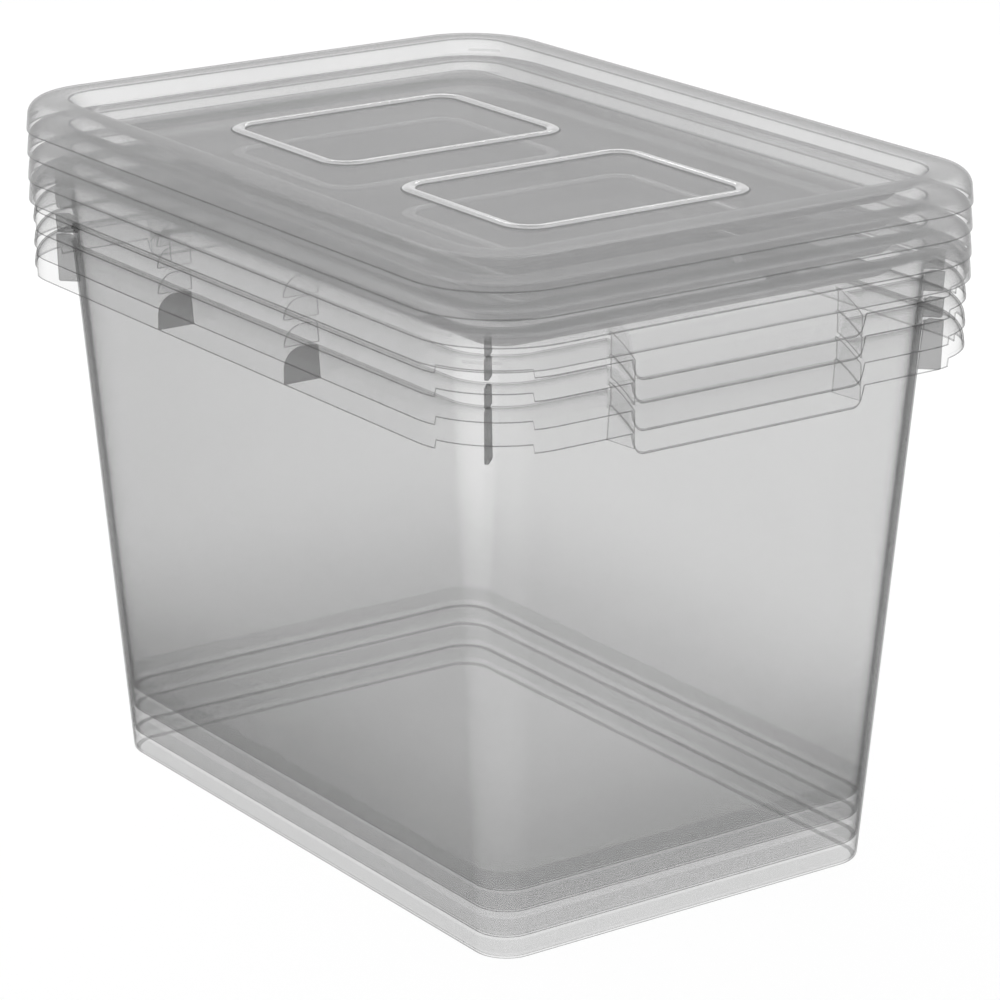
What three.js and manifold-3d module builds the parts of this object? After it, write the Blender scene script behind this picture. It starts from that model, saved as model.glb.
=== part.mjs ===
// Four clear storage tubs nested in each other, with their four lids nested on top.
// Millimetres, +Z up. X runs along the long side and Y along the short side. The origin is
// at the centre of the lowest tub's underside, on the surface that the stack stands on.
import * as THREE from 'three';
import { mergeVertices } from 'three/addons/utils/BufferGeometryUtils.js';
import Module from 'manifold-3d';

const wasm = await Module();
wasm.setup();

// Driving dimensions. Every outline is a rounded rectangle, given by its half length.
const SIDE_DIFFERENCE = 84.5; // half length less half width, the same on tubs and lids
const CORNER_STEPS = 4; // facets round each corner
const CURL_STEPS = 2; // facets round the curl of a rim
const TUB_LEVELS = [0, 15, 33, 48]; // underside of each tub in the stack
const LID_LEVELS = [418.1, 433.3, 451.1, 468.4]; // lower edge of each lid
const NEST_STEP = 15; // least height between two nested tubs

const BASE = { halfLength: 243, cornerRadius: 26, edgeRadius: 4 };
const WALL = { height: 389.5, draft: 0.0723, cornerGrowth: 0.031, thickness: 0.8 };
const FLOOR_THICKNESS = 1.2;
const RIM = { reach: 26, flat: 11, thickness: 1.1, height: 24.5, flare: 0.4, cornerGrowth: 0.95 };
const HANDLE = { halfWidth: 92, top: 11.6, depth: 38.8, thickness: 1.2, sideDraft: 0.11 };
const NOTCH = { fromX: 251, fromY: 165, height: 5.5 };
const GUSSET = { x: 80, thickness: 1.8 };
const FIN = { reach: 13, thickness: 2.6, depth: 35.5 };
const NEST_GAP = 0.4;
const WELD = 0.4; // how far a rib or plate runs into the wall that it joins

const LID = { halfLength: 300, cornerRadius: 65, height: 21.2, thickness: 1.2, edgeRadius: 11 };
const RECESS = { halfLength: 268.6, cornerRadius: 33, panelHalfLength: 244.8, depth: 19 };
const BEAD = { centreX: 107.5, halfLength: 77.5, halfWidth: 99, radius: 24, width: 11, height: 2.6 };

// --- solids -----------------------------------------------------------------------------

// One rounded rectangle of points, counter-clockwise seen from above.
function ring(halfX, halfY, radius, z) {
  const points = [];
  for (let corner = 0; corner < 4; corner += 1) {
    const signX = corner === 0 || corner === 3 ? 1 : -1;
    const signY = corner < 2 ? 1 : -1;
    for (let step = 0; step <= CORNER_STEPS; step += 1) {
      const angle = (corner + step / CORNER_STEPS) * (Math.PI / 2);
      points.push([
        signX * (halfX - radius) + radius * Math.cos(angle),
        signY * (halfY - radius) + radius * Math.sin(angle),
        z,
      ]);
    }
  }
  return points;
}

// The solid between rings that follow each other over its surface. The first and last ring
// are closed by flat faces, or joined to each other when loop is true.
function loft(rings, loop = false) {
  const count = rings[0].length;
  const triangles = [];
  const rows = loop ? rings.length : rings.length - 1;
  for (let row = 0; row < rows; row += 1) {
    const below = row * count;
    const above = ((row + 1) % rings.length) * count;
    for (let i = 0; i < count; i += 1) {
      const j = (i + 1) % count;
      triangles.push(below + i, below + j, above + j, below + i, above + j, above + i);
    }
  }
  if (!loop) {
    const last = (rings.length - 1) * count;
    for (let i = 1; i < count - 1; i += 1) {
      triangles.push(0, i + 1, i, last, last + i, last + i + 1);
    }
  }
  return solid(rings.flat(), triangles);
}

function solid(points, triangles) {
  const mesh = new wasm.Mesh({
    numProp: 3,
    vertProperties: new Float32Array(points.flat()),
    triVerts: new Uint32Array(triangles),
  });
  return new wasm.Manifold(mesh);
}

// The solid of a three.js geometry, after a matrix has placed it.
function geometrySolid(geometry, matrix) {
  const bare = geometry.clone().applyMatrix4(matrix);
  bare.deleteAttribute('normal');
  bare.deleteAttribute('uv');
  const merged = mergeVertices(bare);
  return new wasm.Manifold(new wasm.Mesh({
    numProp: 3,
    vertProperties: new Float32Array(merged.attributes.position.array),
    triVerts: new Uint32Array(merged.index.array),
  }));
}

function box(low, high) {
  const size = low.map((value, axis) => high[axis] - value);
  const centre = low.map((value, axis) => (high[axis] + value) / 2);
  const place = new THREE.Matrix4().makeTranslation(...centre);
  return geometrySolid(new THREE.BoxGeometry(...size), place);
}

// An outline of [x, z] points, made thick along Y from fromY to toY.
function plateAcrossY(outline, fromY, toY) {
  const shape = new THREE.Shape(outline.map(([x, z]) => new THREE.Vector2(x, z)));
  const geometry = new THREE.ExtrudeGeometry(shape, { depth: toY - fromY, bevelEnabled: false });
  const place = new THREE.Matrix4().makeTranslation(0, toY, 0);
  place.multiply(new THREE.Matrix4().makeRotationX(Math.PI / 2));
  return geometrySolid(geometry, place);
}

function turned(part, degrees) {
  return part.rotate([0, 0, degrees]);
}

function mirroredInY(part) {
  return part.mirror([0, 1, 0]);
}

// --- tub --------------------------------------------------------------------------------

function wallHalfLength(z) {
  return BASE.halfLength + WALL.draft * z;
}

// A ring that follows the wall at height z, moved outwards by offset.
function wallRing(z, offset) {
  const half = wallHalfLength(z) + offset;
  const radius = BASE.cornerRadius + WALL.cornerGrowth * z + offset;
  return ring(half, half - SIDE_DIFFERENCE, radius, z);
}

// A ring of the rim: out from the top of the wall, and down from the rim's top.
function rimRing([out, down]) {
  const half = wallHalfLength(WALL.height) + out;
  const wallRadius = BASE.cornerRadius + WALL.cornerGrowth * WALL.height;
  const radius = wallRadius + out * RIM.cornerGrowth;
  return ring(half, half - SIDE_DIFFERENCE, radius, WALL.height - down);
}

// The quarter round of the rim's curl, from flat to upright, as [out, down] points.
function curl(radius, drop) {
  const points = [];
  for (let step = 0; step <= CURL_STEPS; step += 1) {
    const angle = (step / CURL_STEPS) * (Math.PI / 2);
    points.push([RIM.flat + radius * Math.sin(angle), drop - radius * Math.cos(angle)]);
  }
  return points;
}

const CURL_RADIUS = RIM.reach - RIM.flat;
const RIM_TOP_OUTLINE = [[3.2, 0], ...curl(CURL_RADIUS, CURL_RADIUS),
  [RIM.reach + RIM.flare, RIM.height]];
const RIM_UNDER_OUTLINE = [[0.9, 2], [3.2, RIM.thickness],
  ...curl(CURL_RADIUS - RIM.thickness, CURL_RADIUS),
  [RIM.reach + RIM.flare - RIM.thickness, RIM.height]];

// Floor, walls and the turned-over rim as one thin shell.
function tubShell() {
  const edge = BASE.edgeRadius;
  const inside = -WALL.thickness;
  return loft([
    wallRing(0, -edge),
    wallRing(0.3 * edge, -0.3 * edge),
    wallRing(edge, 0),
    wallRing(WALL.height - 4.5, 0),
    ...RIM_UNDER_OUTLINE.map(rimRing),
    ...[...RIM_TOP_OUTLINE].reverse().map(rimRing),
    rimRing([0.2, 0.9]),
    wallRing(WALL.height - 3.5, inside),
    wallRing(edge + 0.3, inside),
    wallRing(0.3 * edge + FLOOR_THICKNESS, inside - 0.3 * edge),
    wallRing(FLOOR_THICKNESS, inside - edge),
  ]);
}

// The slope of the handle as [x, z] points, from the wall down to the ridge.
function handleSlope(drop) {
  const top = WALL.height;
  const ridge = wallHalfLength(top) + RIM.reach;
  return [
    [wallHalfLength(top - HANDLE.top) - WELD, top - HANDLE.top - drop],
    [ridge - 13.5, top - 16.3 - drop],
    [ridge - 5, top - 20.8 - drop],
    [ridge - 0.8, top - RIM.height + 0.3 - drop],
  ];
}

// The space between the two ends of the handle, wider by margin at each end. The ends lean
// outwards, so that one tub's handle nests in the next one's.
function handleSpace(margin) {
  const low = WALL.height - HANDLE.depth - 5;
  const high = WALL.height + 5;
  const ridge = WALL.height - RIM.height;
  const side = (z) => HANDLE.halfWidth + margin + HANDLE.sideDraft * (z - ridge);
  const outline = [[-side(low), low], [side(low), low], [side(high), high], [-side(high), high]];
  return turned(plateAcrossY(outline, -320, -240), 90);
}

// The handle at the +X end: the rim drops to a sloping ledge with a deep flap below it,
// closed at both ends by a plate up to the rim and a plate down to the flap's lower edge.
function handle(endDepth) {
  const top = WALL.height;
  const ridge = wallHalfLength(top) + RIM.reach;
  const t = HANDLE.thickness;
  const far = HANDLE.halfWidth + 10;
  const flapFoot = top - HANDLE.depth;
  const shelf = plateAcrossY([
    ...handleSlope(0),
    [ridge, top - RIM.height - 0.6],
    [ridge, top - RIM.height - t - 0.4],
    [ridge - t, top - RIM.height - t - 0.4],
    ...handleSlope(t + 0.2).reverse().slice(1),
  ], -far, far);
  const flap = plateAcrossY([
    [ridge, top - RIM.height - 0.6],
    [ridge - t, top - RIM.height - 0.6],
    [ridge + RIM.flare - t, flapFoot],
    [ridge + RIM.flare, flapFoot],
  ], -HANDLE.halfWidth, HANDLE.halfWidth);

  const wallTop = wallHalfLength(top);
  const rimOutline = RIM_TOP_OUTLINE.map(([out, down]) => [wallTop + out, top - down - 0.1]);
  const steps = plateAcrossY([
    [wallHalfLength(top - HANDLE.top) - WELD, top - HANDLE.top - t],
    [wallTop - WELD, top - 1.5],
    ...rimOutline,
    ...handleSlope(t).reverse().slice(0, 3),
  ], -far, far);

  // a nested tub's end plates stay clear of the wall and the slope of the tub below
  const wallClear = wallTop + 0.9;
  const nestedFoot = top - NEST_STEP + NEST_GAP;
  const foot = endDepth
    ? [[wallHalfLength(top - endDepth) - WELD, top - endDepth]]
    : [[wallHalfLength(nestedFoot) - WELD, nestedFoot], [wallClear, nestedFoot],
      [wallClear, nestedFoot - HANDLE.top - 1], ...handleSlope(NEST_STEP - NEST_GAP).slice(1)];
  const end = plateAcrossY([
    ...foot,
    [ridge - 0.6, flapFoot],
    [ridge - 0.6, top - RIM.height - 0.8],
    ...handleSlope(0.6).reverse().slice(1),
  ], HANDLE.halfWidth - t, HANDLE.halfWidth);

  const outer = handleSpace(t);
  const frame = steps.subtract(handleSpace(0)).add(shelf).intersect(outer);
  return [frame, flap, end, mirroredInY(end)];
}

// The part of the rim that the handle takes the place of.
function handleCut() {
  const top = WALL.height;
  const low = top - RIM.height - 1;
  const far = wallHalfLength(top) + RIM.reach + 5;
  const outline = [[wallHalfLength(low), low], [far, low], [far, top + 1],
    [wallHalfLength(top + 1), top + 1]];
  return plateAcrossY(outline, -2 * HANDLE.halfWidth, 2 * HANDLE.halfWidth)
    .intersect(handleSpace(0));
}

// A rib under the rim on the long side, from the wall to the skirt.
function gusset(x, depth) {
  const top = WALL.height;
  const wall = wallHalfLength(top) - SIDE_DIFFERENCE;
  const under = RIM_UNDER_OUTLINE.slice(1, -1)
    .filter(([, down]) => down < depth)
    .map(([out, down]) => [wall + out + 0.3, top - down + 0.3]);
  const foot = wallHalfLength(top - depth) - SIDE_DIFFERENCE;
  const outer = under[under.length - 1][0];
  const rib = plateAcrossY([
    [foot - WELD, top - depth],
    [wall - WELD, top - 2],
    ...under,
    [outer, top - depth],
  ], -GUSSET.thickness / 2, GUSSET.thickness / 2);
  return turned(rib, 90).translate([x, 0, 0]);
}

// An upright fin on a corner of the wall, on the corner's diagonal.
function fin(signX, signY, depth) {
  const top = WALL.height;
  const radius = BASE.cornerRadius + WALL.cornerGrowth * top;
  const centreX = wallHalfLength(top) - radius;
  const centreY = centreX - SIDE_DIFFERENCE;
  // the wall's corner leans back as it goes down, along the diagonal of the corner
  const lean = WALL.draft * Math.SQRT2 - WALL.cornerGrowth * (Math.SQRT2 - 1);
  const plate = plateAcrossY([
    [radius - lean * depth - WELD, top - depth],
    [radius - WELD, top - 3],
    [radius + 3, top - RIM.thickness + WELD],
    [radius + FIN.reach, top - RIM.thickness - 0.3],
    [radius + FIN.reach - 2, top - depth],
  ], -FIN.thickness / 2, FIN.thickness / 2);
  const angle = Math.atan2(signY, signX) * (180 / Math.PI);
  return turned(plate, angle).translate([signX * centreX, signY * centreY, 0]);
}

function cornerNotches() {
  const top = WALL.height - RIM.height + NOTCH.height;
  const notches = [];
  for (const signX of [1, -1]) {
    for (const signY of [1, -1]) {
      const spanX = [signX * NOTCH.fromX, signX * 310].sort((a, b) => a - b);
      const spanY = [signY * NOTCH.fromY, signY * 230].sort((a, b) => a - b);
      notches.push(box([spanX[0], spanY[0], top - 10], [spanX[1], spanY[1], top]));
    }
  }
  return notches;
}

// A tub. The ribs of a tub that sits in another one stop just above that tub's rim.
function tub(nested) {
  const ribDepth = nested ? NEST_STEP - NEST_GAP : RIM.height;
  const finDepth = nested ? NEST_STEP - NEST_GAP : FIN.depth;
  const handleParts = handle(nested ? null : HANDLE.depth - 3.2);
  let shell = tubShell();
  for (const cut of [handleCut(), turned(handleCut(), 180), ...cornerNotches()]) {
    shell = shell.subtract(cut);
  }
  const additions = [...handleParts, ...handleParts.map((part) => turned(part, 180))];
  for (const x of [-GUSSET.x, GUSSET.x]) {
    additions.push(gusset(x, ribDepth), turned(gusset(x, ribDepth), 180));
  }
  for (const signX of [1, -1]) {
    for (const signY of [1, -1]) {
      additions.push(fin(signX, signY, finDepth));
    }
  }
  return additions.reduce((whole, part) => whole.add(part), shell);
}

// --- lid --------------------------------------------------------------------------------

// A ring of the lid: its half length, and how far below the lid's top it lies.
function lidRing([half, down]) {
  const rimSlope = (LID.cornerRadius - RECESS.cornerRadius) / (LID.halfLength - RECESS.halfLength);
  const slope = half > RECESS.halfLength ? rimSlope : 0.63;
  const radius = RECESS.cornerRadius + (half - RECESS.halfLength) * slope;
  return ring(half, half - SIDE_DIFFERENCE, radius, LID.height - down);
}

function lidEdge(radius) {
  const centre = LID.halfLength - LID.edgeRadius - 0.8;
  const points = [];
  for (let step = 0; step <= CURL_STEPS; step += 1) {
    const angle = (step / CURL_STEPS) * (Math.PI / 2);
    points.push([centre + radius * Math.sin(angle), LID.edgeRadius - radius * Math.cos(angle)]);
  }
  return points;
}

function bead(centreX) {
  const low = LID.height - RECESS.depth - 0.4;
  const high = LID.height - RECESS.depth + BEAD.height;
  const section = [[0, low], [2.5, high], [BEAD.width - 2.5, high], [BEAD.width, low]];
  const rings = section.map(([inset, z]) => ring(
    BEAD.halfLength - inset,
    BEAD.halfWidth - inset,
    BEAD.radius - inset,
    z,
  ));
  return loft(rings, true).translate([centreX, 0, 0]);
}

// A lid: a skirt, a broad rounded rim, and a sunk panel behind a wall in two tiers.
function lid() {
  const panel = RECESS.panelHalfLength;
  const t = LID.thickness;
  const under = [
    [panel, RECESS.depth + t], [248.3, 19.4], [257.2, 11.1], [263.4, 10.1], [269.7, 1.9],
    ...lidEdge(LID.edgeRadius - t),
    [LID.halfLength - t, LID.height],
  ];
  const over = [
    [LID.halfLength, LID.height],
    ...lidEdge(LID.edgeRadius).reverse(),
    [RECESS.halfLength + 2, 0], [RECESS.halfLength, 1.2], [262.5, 9], [256.5, 10],
    [247.5, 18.2], [panel, RECESS.depth],
  ];
  const shell = loft([...under, ...over].map(lidRing));
  return shell.add(bead(-BEAD.centreX)).add(bead(BEAD.centreX));
}

// --- assembly ---------------------------------------------------------------------------

function namedMesh(name, part, level, look) {
  const { vertProperties, triVerts } = part.getMesh();
  const geometry = new THREE.BufferGeometry();
  geometry.setAttribute('position', new THREE.BufferAttribute(new Float32Array(vertProperties), 3));
  geometry.setIndex(new THREE.BufferAttribute(new Uint32Array(triVerts), 1));
  geometry.computeVertexNormals();
  const mesh = new THREE.Mesh(geometry, new THREE.MeshStandardMaterial(look));
  mesh.name = name;
  mesh.position.z = level;
  return mesh;
}

const TUB_LOOK = { color: 0xdcdedf, roughness: 0.15, metalness: 0, transparent: true, opacity: 0.3 };
const LID_LOOK = { color: 0xcfd1d2, roughness: 0.35, metalness: 0, transparent: true, opacity: 0.5 };

const stack = new THREE.Group();
stack.name = 'storage_bin_stack';
TUB_LEVELS.forEach((level, index) => {
  stack.add(namedMesh(`tub_${index + 1}`, tub(index > 0), level, TUB_LOOK));
});
LID_LEVELS.forEach((level, index) => {
  stack.add(namedMesh(`lid_${index + 1}`, lid(), level, LID_LOOK));
});

export default stack;
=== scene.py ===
"""Four clear nested storage tubs with four clear lids nested on top, in metres, +Z up."""

import math

import bmesh
import bpy
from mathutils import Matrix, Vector


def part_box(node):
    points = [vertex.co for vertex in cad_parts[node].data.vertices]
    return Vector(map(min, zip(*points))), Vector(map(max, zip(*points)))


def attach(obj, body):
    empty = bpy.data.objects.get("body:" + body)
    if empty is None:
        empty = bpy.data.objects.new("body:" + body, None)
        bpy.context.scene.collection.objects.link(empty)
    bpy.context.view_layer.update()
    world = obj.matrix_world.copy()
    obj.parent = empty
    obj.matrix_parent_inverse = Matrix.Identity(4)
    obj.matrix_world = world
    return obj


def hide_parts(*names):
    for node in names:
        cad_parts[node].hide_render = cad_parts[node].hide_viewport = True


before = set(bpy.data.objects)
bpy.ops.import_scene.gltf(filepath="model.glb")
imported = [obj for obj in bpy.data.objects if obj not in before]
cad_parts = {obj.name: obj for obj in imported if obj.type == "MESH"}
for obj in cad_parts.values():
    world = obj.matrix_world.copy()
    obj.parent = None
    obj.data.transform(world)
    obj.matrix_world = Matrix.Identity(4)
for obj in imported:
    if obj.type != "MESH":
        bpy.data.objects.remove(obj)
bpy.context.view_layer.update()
MM = 0.001
TUBS = ["tub_1", "tub_2", "tub_3", "tub_4"]
LIDS = ["lid_1", "lid_2", "lid_3", "lid_4"]

# Outlines are rounded rectangles given by their half length. All sizes are in millimetres.
TUB_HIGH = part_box("tub_1")[1] / MM
LID_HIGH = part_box("lid_1")[1] / MM
SIDE_DIFFERENCE = LID_HIGH.x - LID_HIGH.y  # half length less half width
TUB_HEIGHT = TUB_HIGH.z
LID_HEIGHT = LID_HIGH.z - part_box("lid_1")[0].z / MM
NEST_STEP = (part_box("tub_2")[0].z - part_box("tub_1")[0].z) / MM

BASE_HALF, BASE_RADIUS, BASE_EDGE = 243.0, 26.0, 4.0
DRAFT, RADIUS_GROWTH, RIM_RADIUS_GROWTH = 0.0723, 0.031, 0.95
WALL, FLOOR, RIM = 0.8, 1.2, 1.1
WALL_TOP = BASE_HALF + DRAFT * TUB_HEIGHT
FLARE = 0.4
REACH = TUB_HIGH.x - WALL_TOP - FLARE  # from the wall out to the skirt
FLAT, RIM_HEIGHT = 11.0, 24.5
CURL_RADIUS = REACH - FLAT
HANDLE_HALF, HANDLE_TOP, HANDLE_DEPTH, HANDLE_DRAFT = 92.0, 11.6, 38.8, 0.11
FLAP_CORNER, FLAP_BAND = 8.0, 6.4
NOTCH_HEIGHT, NOTCH_LONG, NOTCH_SHORT = 5.5, 74.3, 15.6  # height, angles round the corner
GUSSET_X, GUSSET_THICK = 80.0, 1.8
FIN_REACH, FIN_THICK, FIN_DEPTH = 13.0, 2.6, 35.5
NEST_GAP = 0.4

LID_THICK, LID_EDGE = 1.2, 11.0
LID_HALF, LID_RADIUS = LID_HIGH.x, 65.0
RECESS_HALF, RECESS_RADIUS, RECESS_DEPTH, PANEL_HALF = 268.6, 33.0, 19.0, 244.8
BEAD_X, BEAD_HALF_X, BEAD_HALF_Y, BEAD_RADIUS, BEAD_WIDTH, BEAD_HIGH = 107.5, 77.5, 99, 24, 11, 2.6

CORNER_STEPS, CURL_STEPS, EDGE_STEPS = 22, 9, 6
EDGE_SHADE_SLOT = 1  # material of cut edges and ribs, darkened with painted shade so they look darker than a wall
FLOOR_SLOT, FOOT_SHADE_SLOT = 2, 3  # a tub's floor and thinnest plates, and the band round its foot, darker as painted shade
BEAD_HIGHLIGHT_SLOT = 2  # a lid's beads, whose brighter milky plastic is a painted highlight
FOOT_SHADE_BAND = 15.0  # height of the band of painted shade round a tub's foot


# --- outlines and lofts -------------------------------------------------------------------

def smooth(t):
    """Eases from 0 to 1 as t does."""
    t = min(max(t, 0.0), 1.0)
    return t * t * (3 - 2 * t)


def columns(handles=False, notches=False):
    """The places round a rounded rectangle, each (corner centre signs, angle, y or None).

    A column with a y of its own lies on an end of the rectangle, at that y.
    """
    end_ys = []
    if handles:
        side = HANDLE_HALF
        end_ys = [side + 4, side + 2.2, side + 1, side - 0.2, side - 1.2, side - 2.5, side - 4,
                  side - 5.6, side - 7.4, side - 9.5, side / 2, 0]
        end_ys += [-y for y in reversed(end_ys[:-1])]
    angles = [90 * i / CORNER_STEPS for i in range(CORNER_STEPS + 1)]
    if notches:
        for edge in (NOTCH_SHORT, NOTCH_LONG):
            angles += [edge - 0.5, edge + 0.5]
        angles.sort()
    around = []
    for corner, (sx, sy) in enumerate([(1, 1), (-1, 1), (-1, -1), (1, -1)]):
        turn = angles if corner % 2 == 0 else list(reversed(angles))
        around += [(sx, sy, math.radians(a), None) for a in turn]
        if sx < 0 and sy > 0:
            around += [(-1, 0, 0.0, y) for y in end_ys]
        if sx > 0 and sy < 0:
            around += [(1, 0, 0.0, y) for y in reversed(end_ys)]
    return around


def outline_point(column, half, radius):
    sx, sy, angle, y = column
    if y is not None:
        return sx * half, y
    width = half - SIDE_DIFFERENCE
    return (sx * (half - radius + radius * math.cos(angle)),
            sy * (width - radius + radius * math.sin(angle)))


def loft(mesh, around, rows, slots, end_slot=0):
    """Adds the skin through rows of points, one point per column, closed by flat ends.

    slots gives the material of the band of faces above a row, where it isn't the first one.
    """
    verts = [[mesh.verts.new(Vector(p) * MM) for p in row] for row in rows]
    count = len(around)
    for strip, (low, high) in enumerate(zip(verts, verts[1:])):
        for i in range(count):
            j = (i + 1) % count
            face = mesh.faces.new((low[i], low[j], high[j], high[i]))
            face.material_index = slots.get(strip, 0)
    for end in (list(reversed(verts[0])), verts[-1]):
        mesh.faces.new(end).material_index = end_slot


def add_plate(mesh, outline, place, thick, side_slot=EDGE_SHADE_SLOT):
    """Adds a flat plate: place maps an outline point and a side offset to a point in space.

    The plate's two sides take the side slot and its edges the edge material, darkened with painted
    shade.
    """
    sides = [[mesh.verts.new(Vector(place(a, b, s * thick / 2)) * MM) for a, b in outline]
             for s in (-1, 1)]
    faces = [mesh.faces.new(list(reversed(sides[0]))), mesh.faces.new(sides[1])]
    count = len(outline)
    for i in range(count):
        j = (i + 1) % count
        faces.append(mesh.faces.new((sides[0][i], sides[0][j], sides[1][j], sides[1][i])))
    for i, face in enumerate(faces):
        face.material_index = side_slot if i < 2 else EDGE_SHADE_SLOT


def finish_mesh(name, mesh, level):
    bmesh.ops.recalc_face_normals(mesh, faces=mesh.faces)
    data = bpy.data.meshes.new(name)
    mesh.to_mesh(data)
    mesh.free()
    for polygon in data.polygons:
        polygon.use_smooth = True
    data.set_sharp_from_angle(angle=math.radians(38))
    piece = bpy.data.objects.new(name, data)
    bpy.context.scene.collection.objects.link(piece)
    piece.location.z = level
    return piece


def quarter(centre_out, centre_down, radius, steps, first=0.0, last=90.0):
    """Points round a quarter curl, as (out, down), from lying flat to standing upright."""
    points = []
    for i in range(steps + 1):
        a = math.radians(first + (last - first) * i / steps)
        points.append((centre_out + radius * math.sin(a), centre_down - radius * math.cos(a)))
    return points


# --- tub ----------------------------------------------------------------------------------

def wall_half(z):
    return BASE_HALF + DRAFT * z


def slope_points(drop, steps):
    """The handle's ledge, as (out, down) from the wall to the ridge, bulging gently."""
    ridge = RIM_HEIGHT - 0.3
    start = -DRAFT * HANDLE_TOP
    points = []
    for i in range(steps + 1):
        t = i / steps
        out = start + (REACH - 0.8 - start) * t
        down = HANDLE_TOP + (ridge - HANDLE_TOP) * (0.62 * t + 0.38 * t * t)
        points.append((out, down + drop))
    return points


def rim_paths():
    """The rim's skin above and below, plain and at the handle, as matching (out, down) lists."""
    steps = CURL_STEPS
    plain_top = [(REACH + FLARE - 0.3, RIM_HEIGHT), (REACH + FLARE, RIM_HEIGHT - 0.25),
                 (REACH + FLARE, RIM_HEIGHT - 1.0), (REACH + FLARE - 0.1, 20.0),
                 (REACH + 0.05, CURL_RADIUS + 1)]
    plain_top += list(reversed(quarter(FLAT, CURL_RADIUS, CURL_RADIUS, steps)))
    plain_top += [(6.0, 0.0), (3.2, 0.12), (1.4, 0.45), (0.2, 1.2), (-0.5, 2.4)]
    handle_top = [(REACH + FLARE - 0.3, HANDLE_DEPTH), (REACH + FLARE, HANDLE_DEPTH - 0.25),
                  (REACH + FLARE, HANDLE_DEPTH - 1.8), (REACH + FLARE / 2, 32.0),
                  (REACH, RIM_HEIGHT + 0.7)]
    handle_top += list(reversed(slope_points(0, steps)))
    handle_top += [(-0.62, HANDLE_TOP - 0.8), (-0.35, 7.0), (-0.1, 3.2), (-0.15, 1.7), (-0.5, 2.4)]
    plain_under = [(0.1, 3.4), (0.8, 2.1), (2.0, 1.4), (3.6, RIM)]
    plain_under += quarter(FLAT, CURL_RADIUS, CURL_RADIUS - RIM, steps)
    plain_under += [(REACH - RIM + 0.15, 18.0), (REACH - RIM + 0.3, 21.0),
                    (REACH + FLARE - RIM, RIM_HEIGHT - 0.25),
                    (REACH + FLARE - RIM + 0.3, RIM_HEIGHT)]
    handle_under = [(-1.0, HANDLE_TOP + 3.6), (-0.9, HANDLE_TOP + 2.4), (-0.3, HANDLE_TOP + 1.7),
                    (0.6, HANDLE_TOP + 1.5)]
    handle_under += slope_points(RIM + 0.25, steps)
    handle_under[-1] = (REACH - 1.2, RIM_HEIGHT + 1.2)
    band = HANDLE_DEPTH - FLAP_BAND
    handle_under += [(REACH - RIM, band), (REACH - RIM - 0.35, band + 0.5),
                     (REACH + FLARE - RIM, HANDLE_DEPTH - 0.25),
                     (REACH + FLARE - RIM + 0.3, HANDLE_DEPTH)]
    return plain_top, handle_top, plain_under, handle_under


def handle_share(column, under):
    """How far a point belongs to the handle: 1 at the handle, 0 on the plain rim."""
    if column[3] is None:
        return 0.0
    inner = HANDLE_HALF + 1.1 if under else HANDLE_HALF - 0.1
    return 1.0 if abs(column[3]) < inner else 0.0


def lean(column, down):
    """The handle's ends lean outwards towards the top, so y grows as down shrinks."""
    if column[3] is None or abs(column[3]) < HANDLE_HALF - 3:
        return column
    y = column[3]
    shift = HANDLE_DRAFT * max(RIM_HEIGHT - down, 0)
    return column[:3] + (y + math.copysign(shift, y),)


def notch_lift(column):
    """How much the skirt's lower edge is raised round a corner."""
    if column[3] is not None:
        return 0.0
    angle = math.degrees(column[2])
    return NOTCH_HEIGHT if NOTCH_SHORT < angle < NOTCH_LONG else 0.0


def rim_row(around, plain, at_handle, under, edge):
    row = []
    for column in around:
        share = handle_share(column, under)
        out = plain[0] + (at_handle[0] - plain[0]) * share
        down = plain[1] + (at_handle[1] - plain[1]) * share
        if share == 0:
            down -= notch_lift(column) * smooth((down - CURL_RADIUS - 1) / 7)
        if share and edge:
            corner = abs(column[3]) - (HANDLE_HALF - FLAP_CORNER)
            if corner > 0:
                down -= FLAP_CORNER - math.sqrt(max(FLAP_CORNER ** 2 - corner ** 2, 0))
        half = WALL_TOP + out
        radius = BASE_RADIUS + RADIUS_GROWTH * TUB_HEIGHT + out * RIM_RADIUS_GROWTH
        x, y = outline_point(lean(column, down), half, radius)
        row.append((x, y, TUB_HEIGHT - down))
    return row


def wall_row(around, z, offset):
    half = wall_half(z) + offset
    radius = BASE_RADIUS + RADIUS_GROWTH * z + offset
    return [(*outline_point(c, half, radius), z) for c in around]


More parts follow.
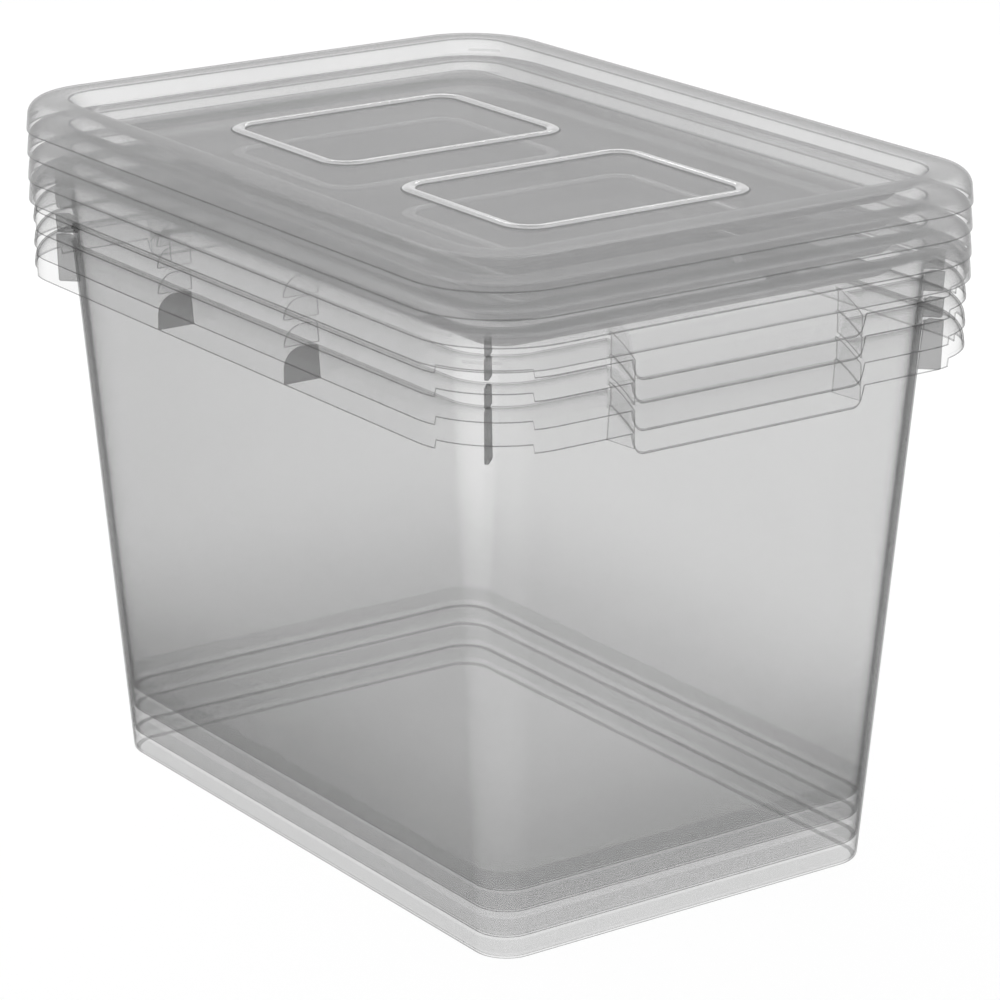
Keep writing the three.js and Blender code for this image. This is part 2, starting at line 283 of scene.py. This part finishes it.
def tub_mesh(nested):
    mesh = bmesh.new()
    around = columns(handles=True, notches=True)
    plain_top, handle_top, plain_under, handle_under = rim_paths()
    rows = []
    for i in range(EDGE_STEPS + 1):
        a = math.radians(90 * i / EDGE_STEPS)
        rows.append(wall_row(around, BASE_EDGE * (1 - math.cos(a)), BASE_EDGE * (math.sin(a) - 1)))
    rows += [wall_row(around, z, 0) for z in (FOOT_SHADE_BAND, 120, 240, TUB_HEIGHT - 42)]
    foot_rows = 4
    for i, (plain, at_handle) in enumerate(zip(plain_under, handle_under)):
        rows.append(rim_row(around, plain, at_handle, True, i >= len(plain_under) - foot_rows))
    foot = len(rows)
    for i, (plain, at_handle) in enumerate(zip(plain_top, handle_top)):
        rows.append(rim_row(around, plain, at_handle, False, i < 3))
    rows += [wall_row(around, z, -WALL) for z in (TUB_HEIGHT - 4.2, 240, 120, FOOT_SHADE_BAND)]
    for i in range(EDGE_STEPS + 1):
        a = math.radians(90 * i / EDGE_STEPS)
        z = FLOOR + BASE_EDGE * (1 - math.sin(a))
        rows.append(wall_row(around, z, -WALL - BASE_EDGE * (1 - math.cos(a))))
    # Painted shade: the lower base rounding and the skirt's lower lip take the darker edge
    # material, and a band above the base rounding, outside and inside, the darker foot material.
    slots = dict.fromkeys([*range(EDGE_STEPS // 2), *range(foot - 2, foot + 2)], EDGE_SHADE_SLOT)
    slots[EDGE_STEPS] = slots[len(rows) - EDGE_STEPS - 2] = FOOT_SHADE_SLOT
    loft(mesh, around, rows, slots, FLOOR_SLOT)
    add_gussets(mesh, nested)
    add_fins(mesh, nested)
    add_handle_ends(mesh, nested)
    return mesh


def under_outline(depth):
    """The underside of the rim's curl, from the wall out, as (out, down), down to a depth."""
    curl = [(0.9, 2.0), (3.2, RIM)] + quarter(FLAT, CURL_RADIUS, CURL_RADIUS - RIM, CURL_STEPS)
    return [(out + 0.3, down - 0.3) for out, down in curl if down < depth]


def add_gussets(mesh, nested):
    depth = NEST_STEP - NEST_GAP if nested else RIM_HEIGHT
    outline = [(-DRAFT * depth - 0.3, depth), (-0.3, 2.0)] + under_outline(depth)
    outline.append((outline[-1][0], depth))
    for side in (-1, 1):
        for x in (-GUSSET_X, GUSSET_X):
            add_plate(mesh, outline, lambda out, down, s: (
                x + s, side * (WALL_TOP - SIDE_DIFFERENCE + out), TUB_HEIGHT - down),
                GUSSET_THICK, FLOOR_SLOT if nested else EDGE_SHADE_SLOT)


def add_fins(mesh, nested):
    depth = NEST_STEP - NEST_GAP if nested else FIN_DEPTH
    radius = BASE_RADIUS + RADIUS_GROWTH * TUB_HEIGHT
    centre = WALL_TOP - radius
    back = (DRAFT * math.sqrt(2) - RADIUS_GROWTH * (math.sqrt(2) - 1)) * depth
    outline = [(radius - back - 0.3, depth), (radius - 0.3, 3), (radius + 3, RIM - 0.4),
               (radius + FIN_REACH, RIM + 0.1), (radius + FIN_REACH - 1, depth - 1),
               (radius + FIN_REACH - 2, depth)]
    for sx in (-1, 1):
        for sy in (-1, 1):
            half = math.sqrt(0.5)
            add_plate(mesh, outline, lambda out, down, s: (
                sx * (centre + (out - s) * half),
                sy * (centre - SIDE_DIFFERENCE + (out + s) * half),
                TUB_HEIGHT - down), FIN_THICK)


def add_handle_ends(mesh, nested):
    """The upright plates that close the two ends of each handle, from the wall to the flap."""
    foot = HANDLE_DEPTH - FLAP_CORNER * 0.55
    inner = [(REACH - 0.7, foot), (REACH - 0.7, RIM_HEIGHT + 0.9)]
    ledge = list(reversed(slope_points(0.5, 4)))
    if nested:
        low = NEST_STEP - NEST_GAP
        start = [(-DRAFT * low - 0.3, low), (0.5, low), (0.5, low + HANDLE_TOP + 0.8)]
        start += slope_points(low, 4)[1:]
    else:
        start = [(-DRAFT * HANDLE_DEPTH - 0.3, HANDLE_DEPTH - 3.2)]
    outline = start + inner + ledge
    for sx in (-1, 1):
        for sy in (-1, 1):
            add_plate(mesh, outline, lambda out, down, s: (
                sx * (WALL_TOP + out), sy * (HANDLE_HALF - 0.75) + s, TUB_HEIGHT - down), 1.1,
                FLOOR_SLOT)


# --- lid ----------------------------------------------------------------------------------

def lid_radius(half):
    if half > RECESS_HALF:
        slope = (LID_RADIUS - RECESS_RADIUS) / (LID_HALF - RECESS_HALF)
    else:
        slope = 0.63
    return RECESS_RADIUS + (half - RECESS_HALF) * slope


def lid_mesh():
    mesh = bmesh.new()
    around = columns()
    t = LID_THICK
    centre = LID_HALF - LID_EDGE - 0.8
    under = [(PANEL_HALF - 1.5, RECESS_DEPTH + t), (PANEL_HALF, RECESS_DEPTH + t - 0.1),
             (246.8, 19.9), (248.6, 18.8), (255.4, 11.9), (256.6, 11.2), (258.0, 10.9),
             (262.0, 10.7), (263.6, 10.0), (264.6, 8.6), (268.8, 2.9), (269.8, 1.7), (271.2, 1.2)]
    under += quarter(centre, LID_EDGE, LID_EDGE - t, CURL_STEPS)
    under += [(LID_HALF - t - 0.3, 16), (LID_HALF - t, LID_HEIGHT - 0.3),
              (LID_HALF - t + 0.3, LID_HEIGHT)]
    over = [(LID_HALF - 0.3, LID_HEIGHT), (LID_HALF, LID_HEIGHT - 0.3),
            (LID_HALF, LID_HEIGHT - 1.0), (LID_HALF - 0.3, 16)]
    over += list(reversed(quarter(centre, LID_EDGE, LID_EDGE, CURL_STEPS)))
    over += [(272.0, 0.0), (270.2, 0.25), (268.8, 1.0), (267.8, 2.2), (263.6, 7.8), (262.6, 8.9),
             (261.2, 9.5), (257.6, 9.8), (256.0, 10.2), (254.6, 11.2), (247.9, 17.8),
             (246.4, 18.7), (PANEL_HALF, RECESS_DEPTH), (PANEL_HALF - 1.5, RECESS_DEPTH)]
    rows = []
    for half, down in under + over:
        rows.append([(*outline_point(c, half, lid_radius(half)), LID_HEIGHT - down)
                     for c in around])
    foot = len(under)
    brink = len(under) + over.index((270.2, 0.25))
    # Painted shade: the skirt's lower edge, the lid's outer brink and the panel's edge take the
    # darker edge material.
    painted_shade_rows = [*range(foot - 1, foot + 2), brink, len(rows) - 3]
    loft(mesh, around, rows, dict.fromkeys(painted_shade_rows, EDGE_SHADE_SLOT))
    for x in (-BEAD_X, BEAD_X):
        add_bead(mesh, x)
    add_catches(mesh)
    return mesh


def add_bead(mesh, centre_x):
    """A raised rounded-rectangle bead on the lid's panel."""
    top = LID_HEIGHT - RECESS_DEPTH
    steps = 10
    rows = []
    for i in range(steps + 1):
        t = i / steps
        inset = BEAD_WIDTH * t
        rows.append((inset, top - 0.05 + BEAD_HIGH * math.sin(math.pi * t) ** 0.8))
    rows.append((BEAD_WIDTH - 0.4, top - 0.3))
    rows.append((0.4, top - 0.3))
    rings = []
    for inset, z in rows:
        radius = BEAD_RADIUS - inset
        ring = []
        for sx, sy, first in ((1, 1, 0), (-1, 1, 90), (-1, -1, 180), (1, -1, 270)):
            for i in range(13):
                a = math.radians(first + 90 * i / 12)
                ring.append(mesh.verts.new(Vector((
                    centre_x + sx * (BEAD_HALF_X - inset - radius) + radius * math.cos(a),
                    sy * (BEAD_HALF_Y - inset - radius) + radius * math.sin(a), z)) * MM))
        rings.append(ring)
    count = len(rings[0])
    for k, ring in enumerate(rings):
        above = rings[(k + 1) % len(rings)]
        for i in range(count):
            j = (i + 1) % count
            face = mesh.faces.new((ring[i], ring[j], above[j], above[i]))
            # The bead's two outer flanks take the darker edge material as painted shade, and its
            # body the brighter bead material as a painted highlight.
            face.material_index = EDGE_SHADE_SLOT if k in (0, steps - 1) else BEAD_HIGHLIGHT_SLOT


def add_catches(mesh):
    """A short level rib inside the skirt at each corner, which clips under a tub's rim."""
    centre = LID_HALF - LID_RADIUS
    for sx in (-1, 1):
        for sy in (-1, 1):
            rows = []
            for i in range(9):
                a = math.radians(45 + 22 * (i / 8 - 0.5))
                profile = [(-0.9, 5.2), (-0.9, 7.0), (-2.1, 6.7), (-2.1, 5.5)]
                rows.append([mesh.verts.new(Vector((
                    sx * (centre + (LID_RADIUS + out) * math.cos(a)),
                    sy * (centre - SIDE_DIFFERENCE + (LID_RADIUS + out) * math.sin(a)), z)) * MM)
                    for out, z in profile])
            for low, high in zip(rows, rows[1:]):
                for i in range(4):
                    j = (i + 1) % 4
                    mesh.faces.new((low[i], low[j], high[j], high[i]))
            mesh.faces.new(list(reversed(rows[0])))
            mesh.faces.new(rows[-1])


# --- materials ----------------------------------------------------------------------------

FOOT_SHADE_HEIGHT = 0.15  # metres above a tub's foot where the painted shade darkening its walls has faded out to full clearness
LEAST_COSINE = 0.02
PATH_POWER = -1.7  # how fast a wall darkens as it is seen more aslant
MOTTLE_SCALE, MOTTLE_LEAST, MOTTLE_MOST = 9.0, 0.8, 1.25
PLASTIC_IOR = 1.49
GLOSS_TONE, GRAZING_POWER = 0.95, 5.0
TUB_GLOSS, LID_GLOSS, BEAD_GLOSS = (0.10, 0.010, 0.02), (0.22, 0.02, 0.03), (0.14, 0.08, 0.15)


def math_node(nodes, links, operation, a, b=None):
    node = nodes.new("ShaderNodeMath")
    node.operation = operation
    for socket, value in zip(node.inputs, (a, b)):
        if value is None:
            continue
        if isinstance(value, (int, float)):
            socket.default_value = value
        else:
            links.new(value, socket)
    return node.outputs[0]


def clear_plastic(name, absorb, scatter, milk, gloss, tint_and_painted_shade=1.0, foot_painted_shade=1.0):
    """Clear moulded plastic. Light goes further through a wall seen aslant, so such a wall
    takes off more of it and looks more milky. absorb and scatter are the shares of light lost
    and scattered square on, milk is the scattered tone, and gloss is (roughness, least, most).
    The tint share is what passes a face besides that; where it is below one, on edges and round a
    tub's foot, it is painted shade. The foot share is what passes right at a tub's foot, a painted
    shade that darkens the walls towards the foot.
    """
    material = bpy.data.materials.new(name)
    material.use_nodes = True
    nodes, links = material.node_tree.nodes, material.node_tree.links
    nodes.clear()
    out = nodes.new("ShaderNodeOutputMaterial")
    coord = nodes.new("ShaderNodeTexCoord")
    rough, gloss_least, gloss_most = gloss

    weight = nodes.new("ShaderNodeLayerWeight")
    weight.inputs["Blend"].default_value = 0.5
    facing = weight.outputs["Facing"]
    cosine = math_node(nodes, links, "SUBTRACT", 1.0, facing)
    cosine = math_node(nodes, links, "MAXIMUM", cosine, LEAST_COSINE)
    path = math_node(nodes, links, "POWER", cosine, PATH_POWER)

    mottle = nodes.new("ShaderNodeTexNoise")
    mottle.inputs["Scale"].default_value = MOTTLE_SCALE
    mottle.inputs["Detail"].default_value = 0.0
    links.new(coord.outputs["Object"], mottle.inputs["Vector"])
    spread = nodes.new("ShaderNodeMapRange")
    spread.inputs["To Min"].default_value = MOTTLE_LEAST
    spread.inputs["To Max"].default_value = MOTTLE_MOST
    links.new(mottle.outputs[0], spread.inputs["Value"])
    roughness = math_node(nodes, links, "MULTIPLY", spread.outputs[0], rough)

    lost = math_node(nodes, links, "MULTIPLY", path, -absorb)
    passed = math_node(nodes, links, "EXPONENT", lost)
    passed = math_node(nodes, links, "MULTIPLY", passed, tint_and_painted_shade)
    # Painted shade: a tub's walls darken towards its foot, by height above it.
    if foot_painted_shade < 1:
        place = nodes.new("ShaderNodeSeparateXYZ")
        links.new(coord.outputs["Object"], place.inputs[0])
        fade = nodes.new("ShaderNodeMapRange")
        fade.interpolation_type = "SMOOTHSTEP"
        fade.inputs["From Max"].default_value = FOOT_SHADE_HEIGHT
        fade.inputs["To Min"].default_value = foot_painted_shade
        links.new(place.outputs["Z"], fade.inputs["Value"])
        passed = math_node(nodes, links, "MULTIPLY", passed, fade.outputs[0])
    tone = nodes.new("ShaderNodeCombineColor")
    for socket in tone.inputs:
        links.new(passed, socket)
    clear = nodes.new("ShaderNodeBsdfTransparent")
    links.new(tone.outputs[0], clear.inputs["Color"])

    milky = nodes.new("ShaderNodeBsdfPrincipled")
    milky.inputs["Base Color"].default_value = (milk, milk, milk * 1.005, 1)
    milky.inputs["IOR"].default_value = PLASTIC_IOR
    links.new(roughness, milky.inputs["Roughness"])
    cloud = math_node(nodes, links, "MULTIPLY", path, -scatter)
    cloud = math_node(nodes, links, "MULTIPLY", cloud, spread.outputs[0])
    cloud = math_node(nodes, links, "EXPONENT", cloud)
    cloud = math_node(nodes, links, "SUBTRACT", 1.0, cloud)
    body = nodes.new("ShaderNodeMixShader")
    links.new(cloud, body.inputs[0])
    links.new(clear.outputs[0], body.inputs[1])
    links.new(milky.outputs[0], body.inputs[2])

    shine = nodes.new("ShaderNodeBsdfAnisotropic")
    shine.inputs["Color"].default_value = (GLOSS_TONE, GLOSS_TONE, GLOSS_TONE, 1)
    links.new(roughness, shine.inputs["Roughness"])
    grazing = math_node(nodes, links, "POWER", facing, GRAZING_POWER)
    share = math_node(nodes, links, "MULTIPLY", grazing, gloss_most)
    share = math_node(nodes, links, "ADD", share, gloss_least)
    surface = nodes.new("ShaderNodeMixShader")
    links.new(share, surface.inputs[0])
    links.new(body.outputs[0], surface.inputs[1])
    links.new(shine.outputs[0], surface.inputs[2])
    links.new(surface.outputs[0], out.inputs["Surface"])
    return material


def floor_material():
    material = bpy.data.materials.new("pale_floor")
    material.use_nodes = True
    nodes, links = material.node_tree.nodes, material.node_tree.links
    shader = nodes["Principled BSDF"]
    shader.inputs["Roughness"].default_value = 0.9
    speckle = nodes.new("ShaderNodeTexNoise")
    speckle.inputs["Scale"].default_value = 3.0
    ramp = nodes.new("ShaderNodeValToRGB")
    ramp.color_ramp.elements[0].color = (0.93, 0.93, 0.93, 1)
    ramp.color_ramp.elements[1].color = (0.96, 0.96, 0.96, 1)
    links.new(speckle.outputs[0], ramp.inputs[0])
    links.new(ramp.outputs[0], shader.inputs["Base Color"])
    return material


# --- build --------------------------------------------------------------------------------

tub_plastics = [
    # Painted shade: the main tub plastic darkens towards the foot, and the edge and foot plastics
    # are darker all over.
    clear_plastic("clear_tub", 0.0145, 0.0012, 0.5, TUB_GLOSS, foot_painted_shade=0.952),
    clear_plastic("clear_tub_edge_painted_shade", 0.0145, 0.003, 0.3, TUB_GLOSS, tint_and_painted_shade=0.66),
    clear_plastic("clear_tub_floor", 0.0090, 0.0012, 0.5, TUB_GLOSS, tint_and_painted_shade=0.98),
    clear_plastic("clear_tub_foot_painted_shade", 0.0145, 0.003, 0.4, TUB_GLOSS, tint_and_painted_shade=0.90),
]
lid_plastics = [
    # Painted shade in the darker lid edge plastic, and a painted highlight in the brighter bead
    # plastic.
    clear_plastic("clear_lid", 0.012, 0.045, 0.27, LID_GLOSS),
    clear_plastic("clear_lid_edge_painted_shade", 0.012, 0.045, 0.16, LID_GLOSS, tint_and_painted_shade=0.62),
    clear_plastic("clear_lid_bead_painted_highlight", 0.006, 0.12, 0.62, BEAD_GLOSS),
]

for name in TUBS:
    piece = finish_mesh(f"{name}_moulding", tub_mesh(name != "tub_1"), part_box(name)[0].z)
    for plastic in tub_plastics:
        piece.data.materials.append(plastic)
    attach(piece, name)
    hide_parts(name)
    piece.visible_shadow = piece.visible_diffuse = False

for name in LIDS:
    piece = finish_mesh(f"{name}_moulding", lid_mesh(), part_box(name)[0].z)
    for plastic in lid_plastics:
        piece.data.materials.append(plastic)
    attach(piece, name)
    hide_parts(name)
    piece.visible_shadow = piece.visible_diffuse = False

# --- floor, light and camera --------------------------------------------------------------

FLOOR_HALF, FLOOR_LEVEL = 30, -0.0005
floor_mesh = bmesh.new()
bmesh.ops.create_grid(floor_mesh, x_segments=4, y_segments=4, size=FLOOR_HALF)
floor_data = bpy.data.meshes.new("floor")
floor_mesh.to_mesh(floor_data)
floor_mesh.free()
floor = bpy.data.objects.new("floor", floor_data)
floor.data.materials.append(floor_material())
bpy.context.scene.collection.objects.link(floor)
floor.location.z = FLOOR_LEVEL


def area_light(name, place, target, size, power):
    light = bpy.data.lights.new(name, "AREA")
    light.shape = "RECTANGLE"
    light.size, light.size_y = size
    light.energy = power
    lamp = bpy.data.objects.new(name, light)
    lamp.location = place
    lamp.rotation_euler = (Vector(target) - Vector(place)).to_track_quat("-Z", "Y").to_euler()
    bpy.context.scene.collection.objects.link(lamp)
    return lamp


MIDDLE = (0, 0, 0.3)
area_light("back_strip", (-2.0, 1.6, 2.2), MIDDLE, (1.6, 0.25), 9)
area_light("left_strip", (-2.2, -2.2, 1.6), MIDDLE, (0.25, 1.4), 6)

world = bpy.data.worlds.new("studio")
world.use_nodes = True
world.node_tree.nodes["Background"].inputs[0].default_value = (1, 1, 1, 1)
world.node_tree.nodes["Background"].inputs[1].default_value = 1.0
bpy.context.scene.world = world

CAMERA_PLACE, CAMERA_DOWN, CAMERA_TURN = (2.2473, -1.5586, 1.1165), 18.047, 55.013
CAMERA_LENS, SENSOR_WIDTH = 147.66, 36
camera_data = bpy.data.cameras.new("camera")
camera_data.lens = CAMERA_LENS
camera_data.sensor_width = SENSOR_WIDTH
camera = bpy.data.objects.new("camera", camera_data)
camera.location = CAMERA_PLACE
camera.rotation_euler = (math.radians(90 - CAMERA_DOWN), 0, math.radians(CAMERA_TURN))
bpy.context.scene.collection.objects.link(camera)
bpy.context.scene.camera = camera

cycles = bpy.context.scene.cycles
cycles.max_bounces = 3
cycles.diffuse_bounces = 1
cycles.glossy_bounces = 2
cycles.transparent_max_bounces = 96
bpy.context.scene.view_settings.view_transform = "Standard"
